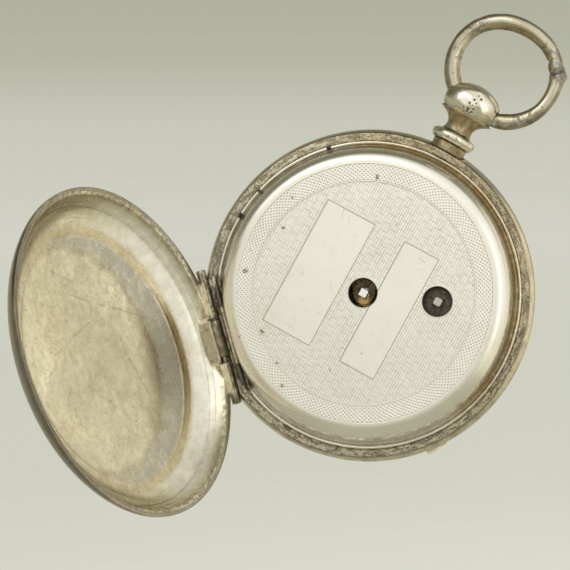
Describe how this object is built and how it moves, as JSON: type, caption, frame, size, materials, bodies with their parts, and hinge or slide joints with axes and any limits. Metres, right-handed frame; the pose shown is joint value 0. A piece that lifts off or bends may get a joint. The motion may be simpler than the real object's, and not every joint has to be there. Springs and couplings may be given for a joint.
{
  "type": "hunter pocket watch",
  "caption": "Key-wound hunter pocket watch with hinged covers, engine-turned inner cover with key holes, swivelling bow and a geared movement.",
  "frame": {"origin": "centre of the movement, on the middle plane of the case band", "axes": "+Z from the centre to the pendant and bow, +Y out of the back cover side along the movement's arbors, the dial faces -Y"},
  "size_m": [0.0617, 0.0492, 0.0833],
  "materials": {
    "case_silver": "polished, tarnished silver",
    "cover_silver": "polished silver, lightly tarnished",
    "cuvette_silver": "frosted silver, engine turned",
    "bow_silver": "polished silver, worn",
    "pin_steel": "drawn steel",
    "spring_steel": "blued spring steel",
    "crystal_glass": "clear polished",
    "dial_enamel": "white enamel",
    "hand_steel": "blued",
    "plate_gilt": "frosted gilt",
    "wheel_brass": "gilt, circular grained",
    "arbor_steel": "polished",
    "screw_steel": "polished, lightly blued",
    "ruby": "polished ruby"
  },
  "bodies": {
    "case": {"case_middle": "case_silver", "pendant": "bow_silver", "back_cover_hinge_pin": "pin_steel", "cuvette_hinge_pin": "pin_steel", "front_lid_hinge_pin": "pin_steel", "bezel": "case_silver", "crystal": "crystal_glass", "lift_spring": "spring_steel", "case_screws": "screw_steel", "dial": "dial_enamel", "main_plate": "plate_gilt", "barrel_bridge": "plate_gilt", "centre_bridge": "plate_gilt", "third_cock": "plate_gilt", "fourth_cock": "plate_gilt", "escape_cock": "plate_gilt", "pallet_cock": "plate_gilt", "balance_cock": "plate_gilt", "bridge_screws": "screw_steel", "jewels": "ruby", "click_screw": "screw_steel", "click_spring": "arbor_steel", "hairspring": "spring_steel", "balance_endpiece": "arbor_steel"},
    "back_cover_body": {"back_cover": "cover_silver"},
    "inner_cover_body": {"cuvette": "cuvette_silver"},
    "front_lid_body": {"front_lid": "cover_silver"},
    "bow_body": {"bow": "bow_silver"},
    "push_piece_body": {"push_piece": "bow_silver"},
    "lock_spring_body": {"lock_spring": "spring_steel"},
    "barrel_body": {"barrel": "wheel_brass", "barrel_cover": "wheel_brass", "mainspring": "spring_steel"},
    "winding_body": {"barrel_arbor": "arbor_steel", "ratchet_wheel": "arbor_steel"},
    "click_body": {"click": "arbor_steel"},
    "centre_body": {"centre_arbor": "arbor_steel", "centre_wheel": "wheel_brass"},
    "third_body": {"third_pinion": "arbor_steel", "third_wheel": "wheel_brass"},
    "fourth_body": {"fourth_pinion": "arbor_steel", "fourth_wheel": "wheel_brass", "seconds_hand": "hand_steel"},
    "escape_body": {"escape_pinion": "arbor_steel", "escape_wheel": "wheel_brass"},
    "pallet_body": {"pallet_fork": "arbor_steel"},
    "balance_body": {"balance_wheel": "wheel_brass", "balance_screws": "wheel_brass", "balance_staff": "arbor_steel", "roller": "arbor_steel"},
    "regulator_body": {"regulator": "arbor_steel"},
    "setting_body": {"setting_arbor": "arbor_steel", "cannon_pinion": "arbor_steel", "minute_hand": "hand_steel"},
    "minute_wheel_body": {"minute_wheel": "wheel_brass"},
    "hour_body": {"hour_wheel": "wheel_brass", "hour_hand": "hand_steel"}
  },
  "joints": [
    {"name": "back_cover_hinge", "type": "hinge", "parent": "case", "child": "back_cover_body", "pos_m": [0.0154, 0.00159, -0.01551], "axis": [-0.7096, 0, -0.7046], "range_deg": [-110.4, 5]},
    {"name": "bow_swivel", "type": "hinge", "parent": "case", "child": "bow_body", "pos_m": [0, 0, 0.0301], "axis": [1, 0, 0], "range_deg": [-80, 80]},
    {"name": "cuvette_hinge", "type": "hinge", "parent": "case", "child": "inner_cover_body", "pos_m": [0.01434, 0.00135, -0.01444], "axis": [-0.7096, 0, -0.7046], "range_deg": [0, 75]},
    {"name": "front_lid_hinge", "type": "hinge", "parent": "case", "child": "front_lid_body", "pos_m": [0, -0.00159, -0.02186], "axis": [1, 0, 0], "range_deg": [0, 100]},
    {"name": "hand_setting", "type": "hinge", "parent": "case", "child": "setting_body", "pos_m": [0, 0, 0], "axis": [0, 1, 0], "continuous": true},
    {"name": "minute_wheel_turn", "type": "hinge", "parent": "case", "child": "minute_wheel_body", "pos_m": [0.00073, 0, 0.00414], "axis": [0, 1, 0], "continuous": true},
    {"name": "hour_wheel_turn", "type": "hinge", "parent": "case", "child": "hour_body", "pos_m": [0, 0, 0], "axis": [0, 1, 0], "continuous": true},
    {"name": "push_piece_travel", "type": "slide", "parent": "case", "child": "push_piece_body", "axis": [0, 0, -1], "range_m": [0, 0.00025]},
    {"name": "lock_spring_flex", "type": "hinge", "parent": "case", "child": "lock_spring_body", "pos_m": [0.01536, 0, 0.01483], "axis": [0, 1, 0], "range_deg": [-1, 0]},
    {"name": "swing_balance", "type": "hinge", "parent": "case", "child": "balance_body", "pos_m": [0.0093, 0, -0.0065], "axis": [0, 1, 0], "range_deg": [-270, 270]},
    {"name": "swing_pallets", "type": "hinge", "parent": "case", "child": "pallet_body", "pos_m": [0.00697, 0, -0.00822], "axis": [0, 1, 0], "range_deg": [-3, 3]},
    {"name": "swing_regulator", "type": "hinge", "parent": "case", "child": "regulator_body", "pos_m": [0.0093, 0, -0.0065], "axis": [0, 1, 0], "range_deg": [-14, 14]},
    {"name": "train_centre", "type": "hinge", "parent": "case", "child": "centre_body", "pos_m": [0, 0, 0], "axis": [0, 1, 0], "continuous": true},
    {"name": "train_barrel", "type": "hinge", "parent": "case", "child": "barrel_body", "pos_m": [-0.00965, 0, 0.00386], "axis": [0, 1, 0], "continuous": true},
    {"name": "train_third", "type": "hinge", "parent": "case", "child": "third_body", "pos_m": [-0.00416, 0, -0.00543], "axis": [0, 1, 0], "continuous": true},
    {"name": "train_fourth", "type": "hinge", "parent": "case", "child": "fourth_body", "pos_m": [0, 0, -0.0092], "axis": [0, 1, 0], "continuous": true},
    {"name": "train_escape", "type": "hinge", "parent": "case", "child": "escape_body", "pos_m": [0.00455, 0, -0.01], "axis": [0, 1, 0], "continuous": true},
    {"name": "winding", "type": "hinge", "parent": "case", "child": "winding_body", "pos_m": [-0.00965, 0, 0.00386], "axis": [0, 1, 0], "continuous": true},
    {"name": "wind_click_lift", "type": "hinge", "parent": "case", "child": "click_body", "pos_m": [-0.01155, 0, 0.00846], "axis": [0, 1, 0], "range_deg": [-10, 0]}
  ],
  "couplings": [
    {"joint": "train_barrel", "follows": "train_centre", "ratio": -0.14286},
    {"joint": "train_third", "follows": "train_centre", "ratio": -8},
    {"joint": "train_fourth", "follows": "train_centre", "ratio": 60},
    {"joint": "train_escape", "follows": "train_centre", "ratio": -600},
    {"joint": "minute_wheel_turn", "follows": "hand_setting", "ratio": -0.33333},
    {"joint": "hour_wheel_turn", "follows": "hand_setting", "ratio": 0.083333},
    {"joint": "lock_spring_flex", "follows": "push_piece_travel", "rad_per_m": -65}
  ]
}
